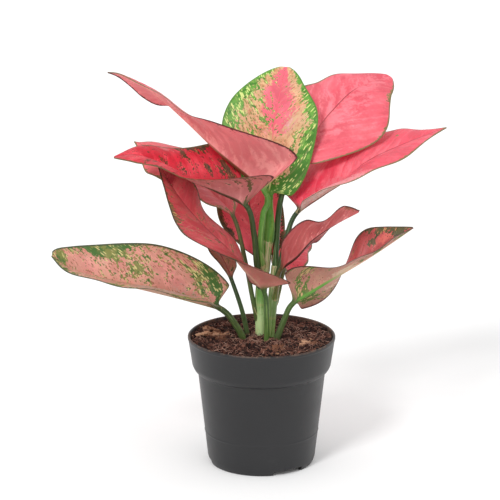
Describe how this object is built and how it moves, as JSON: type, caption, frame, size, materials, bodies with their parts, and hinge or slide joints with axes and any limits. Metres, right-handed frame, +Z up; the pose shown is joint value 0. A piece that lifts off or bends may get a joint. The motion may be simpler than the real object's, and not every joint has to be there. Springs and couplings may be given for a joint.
{
  "type": "potted chinese evergreen",
  "caption": "Leafy houseplant with broad pink, red and green leaves on short canes, in soil in a plain tapered nursery pot.",
  "frame": {"origin": "centre of the pot's foot, on the pot's axis, in the plane that the pot stands on", "axes": "+Z up along the pot's axis, -Y towards the plant's front, +X to the right seen from the front"},
  "size_m": [0.3142, 0.176, 0.3323],
  "materials": {
    "pot_plastic": "matte",
    "potting_mix": "crumbly, damp",
    "cane": "satin",
    "leaf_cream_green": "satin",
    "leaf_pink": "satin",
    "leaf_crimson": "satin",
    "leaf_dark_red": "satin",
    "leaf_salmon": "satin",
    "leaf_coral": "satin"
  },
  "bodies": {
    "root": {"pot": "pot_plastic", "soil": "potting_mix", "cane_left": "cane", "cane_right": "cane", "leaf_crown": "leaf_cream_green", "leaf_upper_left": "leaf_pink", "leaf_left": "leaf_crimson", "leaf_left_rear": "leaf_pink", "leaf_drooping": "leaf_dark_red", "leaf_left_inner": "leaf_dark_red", "leaf_low_left": "leaf_salmon", "leaf_upper_right": "leaf_coral", "leaf_right": "leaf_coral", "leaf_right_small": "leaf_dark_red", "leaf_low_right": "leaf_salmon", "leaf_rear": "leaf_crimson", "leaf_rear_low": "leaf_crimson"}
  },
  "joints": []
}
